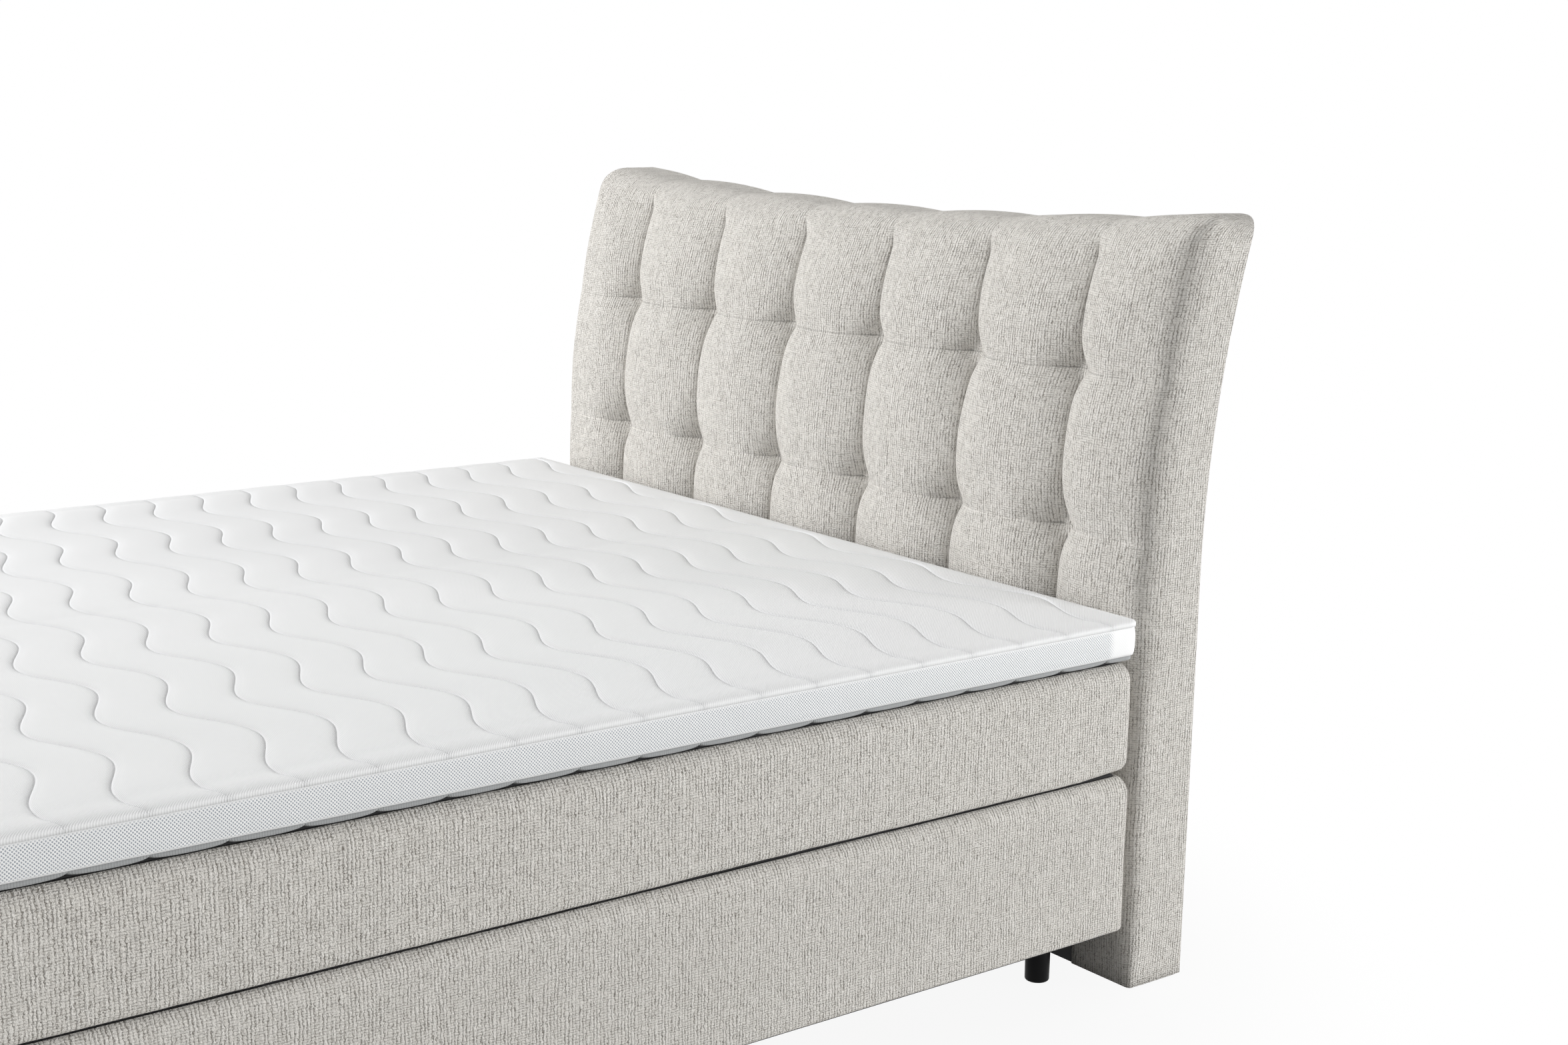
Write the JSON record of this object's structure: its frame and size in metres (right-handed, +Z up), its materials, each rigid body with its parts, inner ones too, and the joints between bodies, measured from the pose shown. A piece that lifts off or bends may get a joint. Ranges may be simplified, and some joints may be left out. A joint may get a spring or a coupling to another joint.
{
  "type": "box spring bed",
  "caption": "Upholstered box spring bed: tufted headboard that leans back, spring boxes on round feet, mattress and a wave-quilted topper.",
  "frame": {"origin": "the middle of the bed's footprint, on the floor", "axes": "+Z up, +Y from the foot end to the headboard, +X to the right as seen from the foot end"},
  "size_m": [1.808, 2.273, 1.2768],
  "materials": {
    "upholstery": "coarse woven chenille and linen look, greige with darker flecks",
    "topper_knit": "white stretch knit with a fine diagonal rib, quilted in waves",
    "topper_mesh": "white spacer mesh with small blue-grey holes in a diagonal grid",
    "black_lining": "thin black non-woven lining",
    "grey_felt": "grey felt",
    "foam": "cream polyether foam",
    "pocket_fleece": "spot-welded fleece pockets round steel springs",
    "pine": "planed softwood, unfinished",
    "fibreboard": "thin hardboard",
    "black_plastic": "moulded black plastic, satin",
    "zinc_steel": "zinc-plated steel",
    "tie_cord": "natural twine"
  },
  "bodies": {
    "root": {"box_connector_foot": "zinc_steel", "box_connector_head": "zinc_steel", "box_left_bottom_lining": "black_lining", "box_left_cover": "upholstery", "box_left_foam": "foam", "box_left_foot_foot_inner": "black_plastic", "box_left_foot_foot_outer": "black_plastic", "box_left_foot_head_inner": "black_plastic", "box_left_foot_head_outer": "black_plastic", "box_left_frame": "pine", "box_left_slats": "pine", "box_left_springs": "pocket_fleece", "box_right_bottom_lining": "black_lining", "box_right_cover": "upholstery", "box_right_foam": "foam", "box_right_foot_foot_inner": "black_plastic", "box_right_foot_foot_outer": "black_plastic", "box_right_foot_head_inner": "black_plastic", "box_right_foot_head_outer": "black_plastic", "box_right_frame": "pine", "box_right_slats": "pine", "box_right_springs": "pocket_fleece", "headboard_back_lining": "black_lining", "headboard_bolt_1": "zinc_steel", "headboard_bolt_2": "zinc_steel", "headboard_bolt_3": "zinc_steel", "headboard_bolt_4": "zinc_steel", "headboard_bolt_rail": "pine", "headboard_bottom_rail": "pine", "headboard_cover": "upholstery", "headboard_foam": "foam", "headboard_front_board": "fibreboard", "headboard_glide_left": "black_plastic", "headboard_glide_right": "black_plastic", "headboard_leg_board_left": "fibreboard", "headboard_leg_board_right": "fibreboard", "headboard_lower_lining": "black_lining", "headboard_middle_post": "pine", "headboard_shelf_rail": "pine", "headboard_side_board_left": "pine", "headboard_side_board_right": "pine", "headboard_spacer_1": "black_plastic", "headboard_spacer_2": "black_plastic", "headboard_spacer_3": "black_plastic", "headboard_spacer_4": "black_plastic", "headboard_top_rail": "pine", "headboard_tuft_tie_high": "tie_cord", "headboard_tuft_tie_low": "tie_cord"},
    "mattress": {"mattress_base_panel": "grey_felt", "mattress_cover": "upholstery", "mattress_lower_felt": "grey_felt", "mattress_springs_left": "pocket_fleece", "mattress_springs_right": "pocket_fleece", "mattress_top_foam": "foam"},
    "topper": {"topper_border": "topper_mesh", "topper_bottom_panel": "topper_knit", "topper_core": "foam", "topper_top_panel": "topper_knit", "topper_zip_chain": "grey_felt"},
    "zip_slider": {"topper_zip_slider": "zinc_steel"}
  },
  "joints": [
    {"name": "mattress_lift", "type": "slide", "parent": "root", "child": "mattress", "axis": [0, 0, 1], "range_m": [0, 0.4]},
    {"name": "topper_lift", "type": "slide", "parent": "mattress", "child": "topper", "axis": [0, 0, 1], "range_m": [0, 0.4]},
    {"name": "zip_slide", "type": "slide", "parent": "topper", "child": "zip_slider", "axis": [1, 0, 0], "range_m": [-1.576, 0]}
  ]
}
